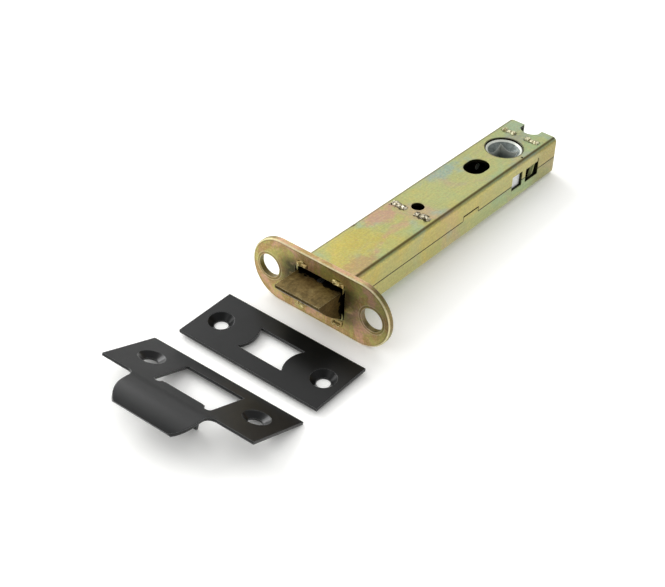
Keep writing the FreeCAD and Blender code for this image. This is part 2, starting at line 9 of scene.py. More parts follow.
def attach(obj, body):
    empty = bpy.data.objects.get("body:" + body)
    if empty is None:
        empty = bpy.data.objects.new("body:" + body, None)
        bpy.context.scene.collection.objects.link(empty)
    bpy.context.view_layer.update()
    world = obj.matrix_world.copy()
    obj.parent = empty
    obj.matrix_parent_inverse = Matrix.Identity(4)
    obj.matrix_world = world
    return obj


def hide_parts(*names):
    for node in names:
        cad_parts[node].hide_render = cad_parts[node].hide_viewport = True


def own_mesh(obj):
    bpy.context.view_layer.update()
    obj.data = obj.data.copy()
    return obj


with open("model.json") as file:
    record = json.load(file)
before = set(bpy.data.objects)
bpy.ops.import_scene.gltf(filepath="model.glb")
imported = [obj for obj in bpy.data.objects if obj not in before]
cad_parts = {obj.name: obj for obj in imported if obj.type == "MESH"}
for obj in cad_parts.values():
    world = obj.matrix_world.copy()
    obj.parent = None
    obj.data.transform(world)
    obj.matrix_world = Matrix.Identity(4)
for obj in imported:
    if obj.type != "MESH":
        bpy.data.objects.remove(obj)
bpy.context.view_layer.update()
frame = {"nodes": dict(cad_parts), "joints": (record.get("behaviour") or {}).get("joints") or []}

nodes = frame["nodes"]
joints = {joint["name"]: joint for joint in frame["joints"]}
print("frame loaded:", len(nodes), "nodes")


# lowest and highest corner of a CAD node in metres, to the micrometre
def boxOf(name):
    spots = [vertex.co for vertex in nodes[name].data.vertices]
    return [Vector([round(pick(spot[i] for spot in spots), 6) for i in range(3)]) for pick in (min, max)]


# millimetres that the finishes and the studio share; the case's height is without its tab heads
caseHigh = boxOf("case_top")[1] * 1000
forendHigh = boxOf("forend")[1] * 1000
latchSize = {
    "tail": caseHigh.x, "halfWidth": caseHigh.y, "halfHeight": 8.0, "bend": 2.0,
    "hubX": joints["follower_turn"]["pos_m"][0] * 1000,
    "forendHalf": forendHigh.z, "forendThick": forendHigh.x,
}


# a hex colour as seen on screen, turned linear for the shaders
def linearHex(text):
    parts = [int(text[i:i + 2], 16) / 255 for i in (1, 3, 5)]
    return tuple(p / 12.92 if p <= 0.04045 else ((p + 0.055) / 1.055) ** 2.4 for p in parts) + (1.0,)


# one node with its settings, its plain values and its links
def addNode(tree, kind, settings=None, values=None, links=None):
    node = tree.nodes.new(kind)
    for name, value in (settings or {}).items():
        setattr(node, name, value)
    for name, value in (values or {}).items():
        node.inputs[name].default_value = value
    for name, socket in (links or {}).items():
        tree.links.new(socket, node.inputs[name])
    return node


# arithmetic on numbers and sockets
def maths(tree, operation, *parts):
    node = addNode(tree, "ShaderNodeMath", settings={"operation": operation})
    for index, part in enumerate(parts):
        if isinstance(part, (int, float)):
            node.inputs[index].default_value = part
        else:
            tree.links.new(part, node.inputs[index])
    return node.outputs[0]


def addObject(name, data):
    thing = bpy.data.objects.new(name, data)
    bpy.context.scene.collection.objects.link(thing)
    return thing


def startMaterial(name):
    material = bpy.data.materials.new(name)
    material.use_nodes = True
    tree = material.node_tree
    tree.nodes.clear()
    shader = addNode(tree, "ShaderNodeBsdfPrincipled")
    addNode(tree, "ShaderNodeOutputMaterial", links={"Surface": shader.outputs["BSDF"]})
    return material, tree, shader


# 0 below low, 1 above high, smooth between
def rise(tree, value, low, high):
    ramp = addNode(tree, "ShaderNodeMapRange", settings={"interpolation_type": "SMOOTHSTEP"},
                   values={"From Min": low, "From Max": high}, links={"Value": value})
    return ramp.outputs["Result"]


# soft cloud between 0 and 1 whose patches are sizeMm across; shift moves it to another part of the noise
def cloud(tree, sizeMm, low, high, shift=(0, 0, 0), stretch=(1, 1, 1), detail=3.0, warp=0.4):
    coord = addNode(tree, "ShaderNodeTexCoord")
    place = addNode(tree, "ShaderNodeMapping", values={"Location": shift, "Scale": stretch},
                    links={"Vector": coord.outputs["Object"]})
    values = {"Scale": 1000.0 / sizeMm, "Detail": detail, "Roughness": 0.55, "Distortion": warp}
    field = addNode(tree, "ShaderNodeTexNoise", values=values, links={"Vector": place.outputs["Vector"]})
    return rise(tree, field.outputs["Fac"], low, high)


# where a point lies in millimetres: along the case, to the side of its middle, and above its middle
def places(tree):
    coord = addNode(tree, "ShaderNodeTexCoord")
    apart = addNode(tree, "ShaderNodeSeparateXYZ", links={"Vector": coord.outputs["Object"]})
    return [maths(tree, "MULTIPLY", apart.outputs[i], 1000.0) for i in range(3)]


# distance from a point whose first part is middle and whose second part is 0
def distance(tree, first, second, middle=0.0):
    off = maths(tree, "POWER", maths(tree, "SUBTRACT", first, middle), 2.0)
    return maths(tree, "SQRT", maths(tree, "ADD", off, maths(tree, "POWER", second, 2.0)))


# 1 between low and high with soft ends, 0 outside
def band(tree, value, low, high, soft):
    below = rise(tree, value, high + soft, high - soft)
    return maths(tree, "MULTIPLY", rise(tree, value, low - soft, low + soft), below)


# rises to 1 on the way from a far to a close distance short of an edge
def near(tree, value, edge, far, close):
    return rise(tree, value, edge - far, edge - close)


# product of several masks
def allOf(tree, first, *others):
    for other in others:
        first = maths(tree, "MULTIPLY", first, other)
    return first


def mixColour(tree, amount, first, second, blend="MIX"):
    node = addNode(tree, "ShaderNodeMix", settings={"data_type": "RGBA", "blend_type": blend})
    for index, value in ((0, amount), (6, first), (7, second)):
        if isinstance(value, (int, float, tuple)):
            node.inputs[index].default_value = value
        else:
            tree.links.new(value, node.inputs[index])
    return node.outputs[2]


# paints a coat, which is a shade and its strength, over a colour where the mask is
def paint(tree, colour, mask, coat):
    shade, strength = coat
    return mixColour(tree, maths(tree, "MULTIPLY", mask, strength), colour, linearHex(shade))


# how strongly a point lies on an outer edge, from the rounded normal against the flat one
def edgeMask(tree, radiusMm):
    flatFrom, roundFrom = 0.97, 0.80
    soft = addNode(tree, "ShaderNodeBevel", settings={"samples": 4}, values={"Radius": radiusMm / 1000})
    flat = addNode(tree, "ShaderNodeNewGeometry")
    dot = addNode(tree, "ShaderNodeVectorMath", settings={"operation": "DOT_PRODUCT"},
                  links={0: soft.outputs["Normal"], 1: flat.outputs["Normal"]})
    mask = addNode(tree, "ShaderNodeMapRange", values={"From Min": flatFrom, "From Max": roundFrom},
                   links={"Value": dot.outputs["Value"]})
    return mask.outputs["Result"]


# joins it all to the shader; rough is the plain roughness and what the grain adds to it
def finishSurface(tree, shader, colour, grain, look):
    plain, added = look["rough"]
    tree.links.new(colour, shader.inputs["Base Color"])
    tree.links.new(maths(tree, "MULTIPLY_ADD", grain, added, plain), shader.inputs["Roughness"])
    soft = addNode(tree, "ShaderNodeBevel", settings={"samples": 4}, values={"Radius": look["edgeMm"] / 1000})
    bump = addNode(tree, "ShaderNodeBump", values={"Strength": 1.0, "Distance": look["bumpMm"] / 1000},
                   links={"Height": grain, "Normal": soft.outputs["Normal"]})
    tree.links.new(bump.outputs["Normal"], shader.inputs["Normal"])
    shader.inputs["Metallic"].default_value = look["metal"]


# drifts of film colour over one another: each is (colour, patch in mm, low, high, strength, shift)
def filmColours(tree, look):
    colour = linearHex(look["base"])
    for shade, size, low, high, strength, shift in look["drifts"]:
        drift = cloud(tree, size, low, high, shift=shift, warp=0.8)
        colour = paint(tree, colour, drift, (shade, strength))
    return colour


# fine specks of other film colours, under a millimetre across
def specks(tree, colour, look):
    for index, shade in enumerate(look["specks"]):
        spots = cloud(tree, 0.7, 0.52, 0.66, shift=(13.0 * index, 5.0, 2.0), warp=0.5)
        colour = paint(tree, colour, spots, (shade, look["speckAmount"]))
    return colour


# fine grain of the plating with faint rolling lines: it darkens the colour and is the bump
def platingGrain(tree, colour, lineWay, depth):
    grain = cloud(tree, 0.9, 0.25, 0.75, detail=5.0, warp=0.1)
    lines = cloud(tree, 0.45, 0.3, 0.7, stretch=lineWay, detail=2.0, warp=0.0)
    tone = maths(tree, "MULTIPLY_ADD", grain, depth, 1.0 - 0.7 * depth)
    lined = maths(tree, "MULTIPLY_ADD", lines, 0.5 * depth, 1.0 - 0.3 * depth)
    both = maths(tree, "MULTIPLY", tone, lined)
    grey = addNode(tree, "ShaderNodeCombineColor", links={"Red": both, "Green": both, "Blue": both})
    return mixColour(tree, 1.0, colour, grey.outputs["Color"], "MULTIPLY"), both


# places in millimetres; pairs are a far and a close distance short of an edge
caseLook = {
    "base": "#bbad5f",
    "drifts": [("#abaa6c", 16, 0.36, 0.62, 0.9, (0, 0, 0)),
               ("#98ac80", 24, 0.44, 0.64, 0.85, (3.1, 0.4, 1.7)),
               ("#ba9580", 17, 0.54, 0.68, 0.75, (7.3, 2.2, 5.5)),
               ("#92a9a2", 20, 0.56, 0.72, 0.7, (11.7, 6.1, 9.4))],
    "specks": ["#bb937e", "#94ac7e", "#d6c66e"], "speckAmount": 0.25,
    "green": ("#9fb38c", 0.45), "greenFrom": 30.0, "greenTo": 80.0,
    # tinted patches on top: middle along and across, half length, half width, coat
    "patches": [(40, 7, 10, 5, ("#b98f82", 0.75)), (12, -6, 9, 4, ("#a98468", 0.6)),
                (80, 7, 13, 5, ("#8ea5a0", 0.7)), (115, 1, 7, 6, ("#8c8a90", 0.5)),
                (24, 1, 13, 8, ("#b7a854", 0.6)), (66, 1, 9, 7, ("#aab27e", 0.5)),
                (29.3, 9.6, 2.3, 1.0, ("#17130c", 0.9))],
    "flatTop": (7.0, 7.7),
    "warmSide": ("#c2ac60", 0.5), "warmFrom": 25.0, "warmTo": 75.0, "sideEdge": (0.6, 0.2),
    "tailShade": ("#85784a", 0.6), "tailFrom": 108.0, "tailTo": 119.0,
    # the line at the folds is a painted dark reflection
    "foldDarkReflection": ("#5b4b2a", 0.8), "foldFlat": 1.6, "foldEnd": 0.8, "foldSoft": 0.25,
    "foldLevel": (0.8, 0.35),
    # the gap round the follower and round the struck tabs gets painted shade
    "hubGapShade": ("#11100b", 0.8), "hubHole": 7.25,
    "tabGapShade": ("#11100b", 0.85), "topEdge": (0.3, 0.1),
    # painted shade round the struck tabs: place along, nearest and furthest from the middle, half length
    "frontTabs": (49.7, 2.0, 8.3, 1.6), "rearTabs": (119.1, 2.1, 8.2, 1.2),
    "seamShade": ("#2e2413", 0.9), "seamLevel": -0.3, "seamSoft": 0.5, "seamLine": (0.34, 0.18),
    "stepStart": 67.5, "stepEnd": 76.8, "stepTop": 1.55, "riserHalf": 0.2,
    # bright edges are partly wear and partly painted highlight; the inside is painted shade
    "headShade": ("#b39a66", 0.8), "edgeWearAndHighlight": ("#d9d2ae", 0.25), "edgeWearAndHighlightMm": 0.35,
    "insideShade": ("#15120b", 0.93), "skin": 0.9, "skinSoft": 0.05, "cutEdge": (0.2, 0.3),
    "bendEdge": (0.2, 0.5),
    "rough": (0.36, 0.12), "bumpMm": 0.02, "edgeMm": 0.2, "metal": 1.0,
}


# tinted patch of film on the upper side
def patch(tree, colour, spot, where, flatTop):
    x, y, halfLength, halfWidth, coat = spot
    along, side, high = where
    offX = maths(tree, "MULTIPLY_ADD", along, 1.0 / halfLength, -x / halfLength)
    offY = maths(tree, "MULTIPLY_ADD", side, 1.0 / halfWidth, -y / halfWidth)
    wander = maths(tree, "MULTIPLY_ADD", cloud(tree, 6, 0.25, 0.75, shift=(x, y, 0), detail=4.0), 0.9, -0.45)
    mask = rise(tree, maths(tree, "ADD", distance(tree, offX, offY), wander), 1.1, 0.45)
    return paint(tree, colour, maths(tree, "MULTIPLY", mask, rise(tree, high, *flatTop)), coat)


# dark line along the seam of the two halves, with its raised step
def seamMask(tree, look, along, across, high):
    start, end, low, top = (look[name] for name in ("stepStart", "stepEnd", "seamLevel", "stepTop"))
    level = maths(tree, "MULTIPLY_ADD", band(tree, along, start, end, 0.02), top - low, low)
    off = maths(tree, "ABSOLUTE", maths(tree, "SUBTRACT", high, level))
    risers = [band(tree, along, x - look["riserHalf"], x + look["riserHalf"], 0.05) for x in (start, end)]
    riser = maths(tree, "MULTIPLY", maths(tree, "MAXIMUM", *risers), band(tree, high, low, top, 0.1))
    both = maths(tree, "MAXIMUM", rise(tree, off, *look["seamLine"]), riser)
    return maths(tree, "MULTIPLY", both, near(tree, across, latchSize["halfWidth"], *look["topEdge"]))


# ragged painted shade round a pair of struck tabs
def tabShade(tree, spot, along, across):
    x, inner, outer, half = spot
    ragged = maths(tree, "MULTIPLY_ADD", cloud(tree, 1.1, 0.3, 0.7, shift=(x, 0, 0)), 1.0, -0.5)
    off = maths(tree, "ADD", maths(tree, "ABSOLUTE", maths(tree, "SUBTRACT", along, x)), ragged)
    side = maths(tree, "ADD", across, ragged)
    onTabs = rise(tree, off, half + 0.2, half - 0.2)
    return maths(tree, "MULTIPLY", onTabs, band(tree, side, inner, outer, 0.2))


# where shade is painted: inner faces and the cut faces of the windows and ends, apart from the flat ends of
# the case
def insideMask(tree, look, along, across, level):
    wide, tall, bend = latchSize["halfWidth"], latchSize["halfHeight"], latchSize["bend"]
    skin, soft = look["skin"], look["skinSoft"]
    deepSide = near(tree, across, wide, skin - soft, skin + soft)
    inside = maths(tree, "MULTIPLY", deepSide, near(tree, level, tall, skin - soft, skin + soft))
    cutSide = allOf(tree, near(tree, across, wide, *look["cutEdge"]),
                    near(tree, level, tall - bend, *look["bendEdge"]))
    cutTop = allOf(tree, near(tree, level, tall, *look["cutEdge"]),
                   near(tree, across, wide - bend, *look["bendEdge"]))
    hidden = maths(tree, "MAXIMUM", inside, maths(tree, "MAXIMUM", cutSide, cutTop))
    return allOf(tree, hidden, rise(tree, along, 0.0, 0.6), near(tree, along, latchSize["tail"], 0.1, 0.4))


# zinc plate with a yellow passivate on the folded case: satin, with drifts of green, pink and blue film
def caseFinish(look):
    material, tree, shader = startMaterial("yellowPassivateCase")
    along, side, high = places(tree)
    across, level = maths(tree, "ABSOLUTE", side), maths(tree, "ABSOLUTE", high)
    wide, tall = latchSize["halfWidth"], latchSize["halfHeight"]
    colour = filmColours(tree, look)
    colour = paint(tree, colour, rise(tree, along, look["greenFrom"], look["greenTo"]), look["green"])
    for spot in look["patches"]:
        colour = patch(tree, colour, spot, (along, side, high), look["flatTop"])
    # the sides: warm above the seam and in front below it, browner at the tail
    onSide = near(tree, across, wide, *look["sideEdge"])
    seamLow, seamHigh = look["seamLevel"] - look["seamSoft"], look["seamLevel"] + look["seamSoft"]
    upperSide = allOf(tree, onSide, rise(tree, high, seamLow, seamHigh))
    colour = paint(tree, colour, upperSide, look["warmSide"])
    lowerSide = allOf(tree, onSide, rise(tree, high, seamHigh, seamLow),
                      rise(tree, along, look["warmTo"], look["warmFrom"]))
    colour = paint(tree, colour, lowerSide, look["warmSide"])
    tailSide = allOf(tree, onSide, rise(tree, along, look["tailFrom"], look["tailTo"]))
    colour = paint(tree, colour, tailSide, look["tailShade"])
    colour = specks(tree, colour, look)
    colour, grain = platingGrain(tree, colour, (0.04, 1, 1), 0.2)
    # painted dark reflection: a thin brown line where each fold starts, standing in for the bend mirroring
    # the dim room
    foldStart, foldEnd = wide - look["foldFlat"], wide - look["foldEnd"]
    onFold = allOf(tree, band(tree, across, foldStart, foldEnd, look["foldSoft"]),
                   near(tree, level, tall, *look["foldLevel"]))
    colour = paint(tree, colour, onFold, look["foldDarkReflection"])
    # painted shade in the gap round the follower and round the struck tabs
    reach = distance(tree, along, across, latchSize["hubX"])
    ring = rise(tree, reach, look["hubHole"] + 0.5, look["hubHole"] + 0.25)
    colour = paint(tree, colour, ring, look["hubGapShade"])
    onTop = near(tree, level, tall, *look["topEdge"])
    for name in ("frontTabs", "rearTabs"):
        shade = maths(tree, "MULTIPLY", tabShade(tree, look[name], along, across), onTop)
        colour = paint(tree, colour, shade, look["tabGapShade"])
    colour = paint(tree, colour, seamMask(tree, look, along, across, high), look["seamShade"])
    colour = paint(tree, colour, rise(tree, along, 0.02, -0.02), look["headShade"])
    # cut edges are painted bright, partly rubbed plating and partly painted highlight; the inside gets
    # painted shade
    colour = paint(tree, colour, edgeMask(tree, look["edgeWearAndHighlightMm"]), look["edgeWearAndHighlight"])
    colour = paint(tree, colour, insideMask(tree, look, along, across, level), look["insideShade"])
    finishSurface(tree, shader, colour, grain, look)
    return material


# places in millimetres; pairs are where a mask starts and where it is full
plateLook = {
    "base": "#ac9261",
    "drifts": [("#a18453", 9, 0.36, 0.62, 0.8, (1.0, 4.0, 0)),
               ("#b1ad64", 8, 0.48, 0.62, 0.85, (3.1, 0.4, 1.7)),
               ("#c99e87", 8, 0.48, 0.62, 0.85, (7.3, 2.2, 5.5))],
    "specks": ["#c49883", "#9aa164", "#d2b56f"], "speckAmount": 0.45,
    "darkerPatch": ("#474730", 0.92), "patchInner": (9.5, 11.5), "patchOuter": (19.0, 13.0),
    "patchHigh": (9.5, 5.0), "patchLean": (-6.0, 6.0),
    "holeY": 22.5, "holeReach": 4.45, "holeLine": ("#6b6444", 0.6), "holeRim": ("#d6d0aa", 0.5),
    "holeWallShade": ("#4e4c33", 0.75),
    "endY": 17.5, "rimLine": ("#6b6444", 0.45), "rim": ("#d6d0aa", 0.75), "rimWall": ("#4e4c33", 0.6),
    "wallFrom": (17.0, 22.0), "edgeWearAndHighlight": ("#d6d0aa", 0.7), "edgeWearAndHighlightMm": 0.4,
    "headY": 8.0, "headLevels": (7.4, -8.2), "headHalf": (2.3, 1.35), "headLine": ("#0b0a08", 0.8),
    "mouthWallShade": ("#0b0a08", 0.95), "mouthSide": (13.0, 12.5), "mouthHigh": (9.2, 8.8),
    "rough": (0.36, 0.12), "bumpMm": 0.03, "edgeMm": 0.3, "metal": 1.0,
}


# dark outline round one peened tab head
def headOutline(tree, look, across, high, middleZ):
    halfY, halfZ = look["headHalf"]
    side = maths(tree, "DIVIDE", maths(tree, "SUBTRACT", across, look["headY"]), halfY)
    lift = maths(tree, "DIVIDE", maths(tree, "SUBTRACT", high, middleZ), halfZ)
    return band(tree, distance(tree, side, lift), 0.86, 1.12, 0.06)


# darker, greener patch beside the mouth, deeper on one side
def mouthDarkerPatch(tree, look, side, across, level):
    beside = allOf(tree, rise(tree, across, *look["patchInner"]), rise(tree, across, *look["patchOuter"]),
                   rise(tree, level, *look["patchHigh"]))
    more = maths(tree, "MULTIPLY_ADD", rise(tree, side, *look["patchLean"]), 0.55, -0.3)
    blot = maths(tree, "ADD", cloud(tree, 6, 0.22, 0.5, shift=(2.0, 9.0, 4.0)), more)
    return maths(tree, "MULTIPLY", beside, maths(tree, "MINIMUM", maths(tree, "MAXIMUM", blot, 0.0), 1.0))


# the same passivate on the forend: browner, darker and greener beside the mouth
def plateFinish(look):
    material, tree, shader = startMaterial("yellowPassivateForend")
    along, side, high = places(tree)
    across, level = maths(tree, "ABSOLUTE", side), maths(tree, "ABSOLUTE", high)
    colour = specks(tree, filmColours(tree, look), look)
    colour = paint(tree, colour, mouthDarkerPatch(tree, look, side, across, level), look["darkerPatch"])
    # a darker band and a bright line round each screw hole, and painted shade on its walls
    reach = distance(tree, across, high, look["holeY"])
    hole = look["holeReach"]
    colour = paint(tree, colour, band(tree, reach, hole + 0.35, hole + 0.8, 0.1), look["holeLine"])
    colour = paint(tree, colour, band(tree, reach, hole + 0.95, hole + 1.15, 0.1), look["holeRim"])
    colour = paint(tree, colour, rise(tree, reach, hole + 0.08, hole + 0.03), look["holeWallShade"])
    # a painted highlight along the rim with a darker line inside it, and painted shade on the wall beyond it
    beyond = maths(tree, "MAXIMUM", maths(tree, "SUBTRACT", across, look["endY"]), 0.0)
    inset = maths(tree, "SUBTRACT", latchSize["forendHalf"], distance(tree, beyond, high))
    colour = paint(tree, colour, band(tree, inset, 0.6, 0.95, 0.1), look["rimLine"])
    onFront = allOf(tree, band(tree, inset, 0.08, 0.5, 0.08), rise(tree, along, 0.5, 0.4))
    colour = paint(tree, colour, onFront, look["rim"])
    onWall = allOf(tree, rise(tree, inset, 0.06, 0.0), rise(tree, across, *look["wallFrom"]),
                   rise(tree, along, 0.3, 0.5))
    colour = paint(tree, colour, onWall, look["rimWall"])
    colour, grain = platingGrain(tree, colour, (1, 0.05, 1), 0.25)
    # edges painted bright: partly worn plating, partly painted highlight
    colour = paint(tree, colour, edgeMask(tree, look["edgeWearAndHighlightMm"]), look["edgeWearAndHighlight"])
    for middle in look["headLevels"]:
        colour = paint(tree, colour, headOutline(tree, look, across, high, middle), look["headLine"])
    # the walls of the mouth get painted black shade
    walls = allOf(tree, band(tree, along, 0.1, latchSize["forendThick"] - 0.1, 0.05),
                  rise(tree, across, *look["mouthSide"]), rise(tree, level, *look["mouthHigh"]))
    colour = paint(tree, colour, walls, look["mouthWallShade"])
    finishSurface(tree, shader, colour, grain, look)
    return material


boltLook = {
    "base": "#75643f",
    "drifts": [("#5c4e2f", 6, 0.35, 0.65, 0.8, (0, 0, 0)), ("#867850", 5, 0.5, 0.7, 0.6, (4.0, 1.0, 2.0))],
    "rubbedAndHighlight": ("#b3a987", 1.0), "rubbedAndHighlightMm": 0.3, "boltShade": ("#0a0a08", 0.97), "boltShadeStart": -1.1,
    "rough": (0.34, 0.14), "bumpMm": 0.05, "edgeMm": 0.2, "metal": 1.0,
}


# sintered bolt: brown passivate with drawn lines from tip to tail, painted black shade where it enters the
# mouth
def boltFinish(look):
    material, tree, shader = startMaterial("brownPassivateBolt")
    along = places(tree)[0]
    colour, grain = platingGrain(tree, filmColours(tree, look), (0.05, 1, 1), 0.5)
    chips = cloud(tree, 0.8, 0.35, 0.6, shift=(5.0, 5.0, 5.0))
    colour = paint(tree, colour, allOf(tree, edgeMask(tree, look["rubbedAndHighlightMm"]), chips), look["rubbedAndHighlight"])
    # painted shade from where the bolt enters the mouth, with a wandering front
    wander = cloud(tree, 1.8, 0.3, 0.7, shift=(1.0, 2.0, 3.0), detail=4.0)
    start = maths(tree, "ADD", along, maths(tree, "MULTIPLY_ADD", wander, 1.6, -0.8))
    shadedBolt = rise(tree, start, look["boltShadeStart"] - 0.15, look["boltShadeStart"] + 0.15)
    colour = paint(tree, colour, shadedBolt, look["boltShade"])
    finishSurface(tree, shader, colour, grain, look)
    return material


hubLook = {
    "dish": "#7b8481", "deep": "#59625f", "bright": ("#dfe3d8", 1.0), "rimStart": 6.1,
    "edge": ("#17170f", 1.0), "rimEnd": 6.9, "wall": ("#dfe2da", 0.7), "squareHalf": 4.0,
    "wallLit": (0.0, 5.5),
    "faceLevel": (7.1, 6.9), "bodyReach": (6.2, 6.35),
    "rough": (0.38, 0.1), "bumpMm": 0.015, "edgeMm": 0.15, "metal": 0.3,
}


# die cast follower: a painted highlight on the rim, the dish and the square dull grey, painted shade beyond
# the rim and on the body inside
def hubFinish(look):
    material, tree, shader = startMaterial("castZincFollower")
    along, side, high = places(tree)
    across = maths(tree, "ABSOLUTE", side)
    reach = distance(tree, along, across, latchSize["hubX"])
    drift = cloud(tree, 1.6, 0.3, 0.7, detail=4.0)
    colour = mixColour(tree, drift, linearHex(look["dish"]), linearHex(look["deep"]))
    # painted highlight on the rim, painted shade beyond it
    rim = rise(tree, reach, look["rimStart"] - 0.1, look["rimStart"] + 0.1)
    colour = paint(tree, colour, rim, look["bright"])
    outside = rise(tree, reach, look["rimEnd"] - 0.05, look["rimEnd"] + 0.1)
    colour = paint(tree, colour, outside, look["edge"])
    # the walls of the square catch more light than the dish
    sideX = maths(tree, "ABSOLUTE", maths(tree, "SUBTRACT", along, latchSize["hubX"]))
    fromMiddle = maths(tree, "MAXIMUM", sideX, across)
    inSquare = rise(tree, fromMiddle, look["squareHalf"] + 0.1, look["squareHalf"] + 0.03)
    colour = paint(tree, colour, allOf(tree, inSquare, rise(tree, high, *look["wallLit"])), look["wall"])
    # painted shade on the body below the face
    body = allOf(tree, rise(tree, maths(tree, "ABSOLUTE", high), *look["faceLevel"]),
                 rise(tree, reach, *look["bodyReach"]))
    colour = paint(tree, colour, body, look["edge"])
    grain = cloud(tree, 0.35, 0.3, 0.7, warp=0.0)
    finishSurface(tree, shader, colour, grain, look)
    return material


innerLooks = {
    "brightZinc": {"light": "#b9bdbc", "dark": "#9da2a1", "rough": (0.25, 0.13), "metal": 1.0},
    # the drawbar gets a darker copy of the zinc, as painted shade inside the case
    "shadedInnerZinc": {"light": "#4a452f", "dark": "#37331f", "rough": (0.4, 0.1), "metal": 1.0},
    "yellowLeaf": {"light": "#e6eda8", "dark": "#d2da96", "rough": (0.3, 0.12), "metal": 0.1},
    "oiledSpringWire": {"light": "#6c6d6f", "dark": "#4a4a4b", "rough": (0.28, 0.14), "metal": 1.0},
}


# zinc or drawn wire on small inner pieces: faintly cloudy, with a fine grain
def innerFinish(name, look):
    material, tree, shader = startMaterial(name)
    drift = cloud(tree, 2.2, 0.3, 0.7, detail=4.0)
    colour = mixColour(tree, drift, linearHex(look["light"]), linearHex(look["dark"]))
    grain = cloud(tree, 0.35, 0.3, 0.7, warp=0.0)
    finishSurface(tree, shader, colour, grain, dict(look, bumpMm=0.01, edgeMm=0.15))
    return material


struckLooks = {
    "hammeredTabs": {"bright": "#efe8d0", "dark": "#4a412e", "dirt": ("#7f7558", 0.7), "bumpMm": 0.08},
    "pressedTabs": {"bright": "#dcd8b6", "dark": "#8f875f", "dirt": ("#6f6746", 0.7), "bumpMm": 0.03},
    "peenedTabs": {"bright": "#d9cb92", "dark": "#7d6b3c", "dirt": ("#8f7c4c", 0.7), "bumpMm": 0.12},
}


# steel struck with a hammer: torn plating, whose bright tops and dark hollows are partly painted highlight
# and shade
def struckFinish(name, look):
    material, tree, shader = startMaterial(name)
    spots = cloud(tree, 1.2, 0.40, 0.56, warp=0.8)
    colour = mixColour(tree, spots, linearHex(look["dark"]), linearHex(look["bright"]))
    darkerPatch = cloud(tree, 1.7, 0.45, 0.7, shift=(2.0, 5.0, 1.0), detail=2.0)
    colour = paint(tree, colour, darkerPatch, look["dirt"])
    finishSurface(tree, shader, colour, spots, dict(look, rough=(0.5, -0.2), edgeMm=0.15, metal=1.0))
    return material


coatLook = {
    "deep": "#0c0d0d", "light": "#101111", "rubbedAndHighlight": ("#8b8e8d", 0.6), "rubbedAndHighlightMm": 0.35,
    "rough": (0.28, 0.03), "bumpMm": 0.0003, "edgeMm": 0.5, "metal": 0.0,
    "gloss": {"satinBlackFacePlate": 0.21, "satinBlackStrikePlate": 0.33},
}


# black powder coat on pressed steel: satin, a very fine orange peel, with painted grey highlights along the
# edges
def coatFinish(name, look):
    material, tree, shader = startMaterial(name)
    colour = mixColour(tree, cloud(tree, 12, 0.35, 0.65), linearHex(look["deep"]), linearHex(look["light"]))
    # painted grey highlight along the edges
    colour = paint(tree, colour, edgeMask(tree, look["rubbedAndHighlightMm"]), look["rubbedAndHighlight"])
    peel = cloud(tree, 0.9, 0.3, 0.7, detail=1.0, warp=0.0)
    finishSurface(tree, shader, colour, peel, look)
    shader.inputs["Specular IOR Level"].default_value = look["gloss"][name]
    return material


nylonLook = {"light": "#f2f3f2", "dark": "#e6e9e8", "rough": (0.42, 0.1), "bumpMm": 0.008, "edgeMm": 0.2,
             "metal": 0.0, "ior": 1.53}


# natural nylon, moulded: waxy off-white with faint mottling
def nylonFinish(look):
    material, tree, shader = startMaterial("naturalNylon")
    colour = mixColour(tree, cloud(tree, 3.0, 0.3, 0.7), linearHex(look["light"]), linearHex(look["dark"]))
    grain = cloud(tree, 0.4, 0.3, 0.7, warp=0.0)
    finishSurface(tree, shader, colour, grain, look)
    shader.inputs["IOR"].default_value = look["ior"]
    return material


made = [caseFinish(caseLook), plateFinish(plateLook), boltFinish(boltLook), hubFinish(hubLook)]
made += [innerFinish(name, look) for name, look in innerLooks.items()]
made += [struckFinish(name, look) for name, look in struckLooks.items()]
made += [coatFinish(name, coatLook) for name in coatLook["gloss"]]
made.append(nylonFinish(nylonLook))
finishes = {material.name: material for material in made}
print("finishes made:", len(finishes))

finishOf = {
    "forend": "yellowPassivateForend", "case_top": "yellowPassivateCase",
    "case_bottom": "yellowPassivateCase",
    "front_bridge": "hammeredTabs", "rear_bridge": "pressedTabs", "return_leaf": "yellowLeaf",
    "drawbar": "shadedInnerZinc", "latch_bolt": "brownPassivateBolt", "follower": "castZincFollower",
    "bolt_stem": "brightZinc", "stem_collar": "brightZinc", "bolt_pin": "brightZinc",
    "bolt_spring_washer": "brightZinc", "lever_spring_washer": "brightZinc",
    "bolt_spring": "oiledSpringWire", "lever_spring": "oiledSpringWire",
    "shoe_left": "naturalNylon", "shoe_right": "naturalNylon",
    "face_plate": "satinBlackFacePlate", "strike_plate": "satinBlackStrikePlate",
}
for name, finish in finishOf.items():
    nodes[name].data.materials.clear()
    nodes[name].data.materials.append(finishes[finish])
print("finishes set on", len(finishOf), "nodes")


def startTree(name, inputs):
    tree = bpy.data.node_groups.new(name, "GeometryNodeTree")
    tree.interface.new_socket("Geometry", in_out="OUTPUT", socket_type="NodeSocketGeometry")
    for label, kind in inputs.items():
        tree.interface.new_socket(label, in_out="INPUT", socket_type="NodeSocket" + kind)
    return tree, addNode(tree, "NodeGroupInput").outputs


def endTree(tree, geometry, finish):
    real = addNode(tree, "GeometryNodeRealizeInstances", links={"Geometry": geometry})
    coat = addNode(tree, "GeometryNodeSetMaterial",
                   links={"Geometry": real.outputs["Geometry"], "Material": finish})
    addNode(tree, "NodeGroupOutput", links={"Geometry": coat.outputs["Geometry"]})
    return tree


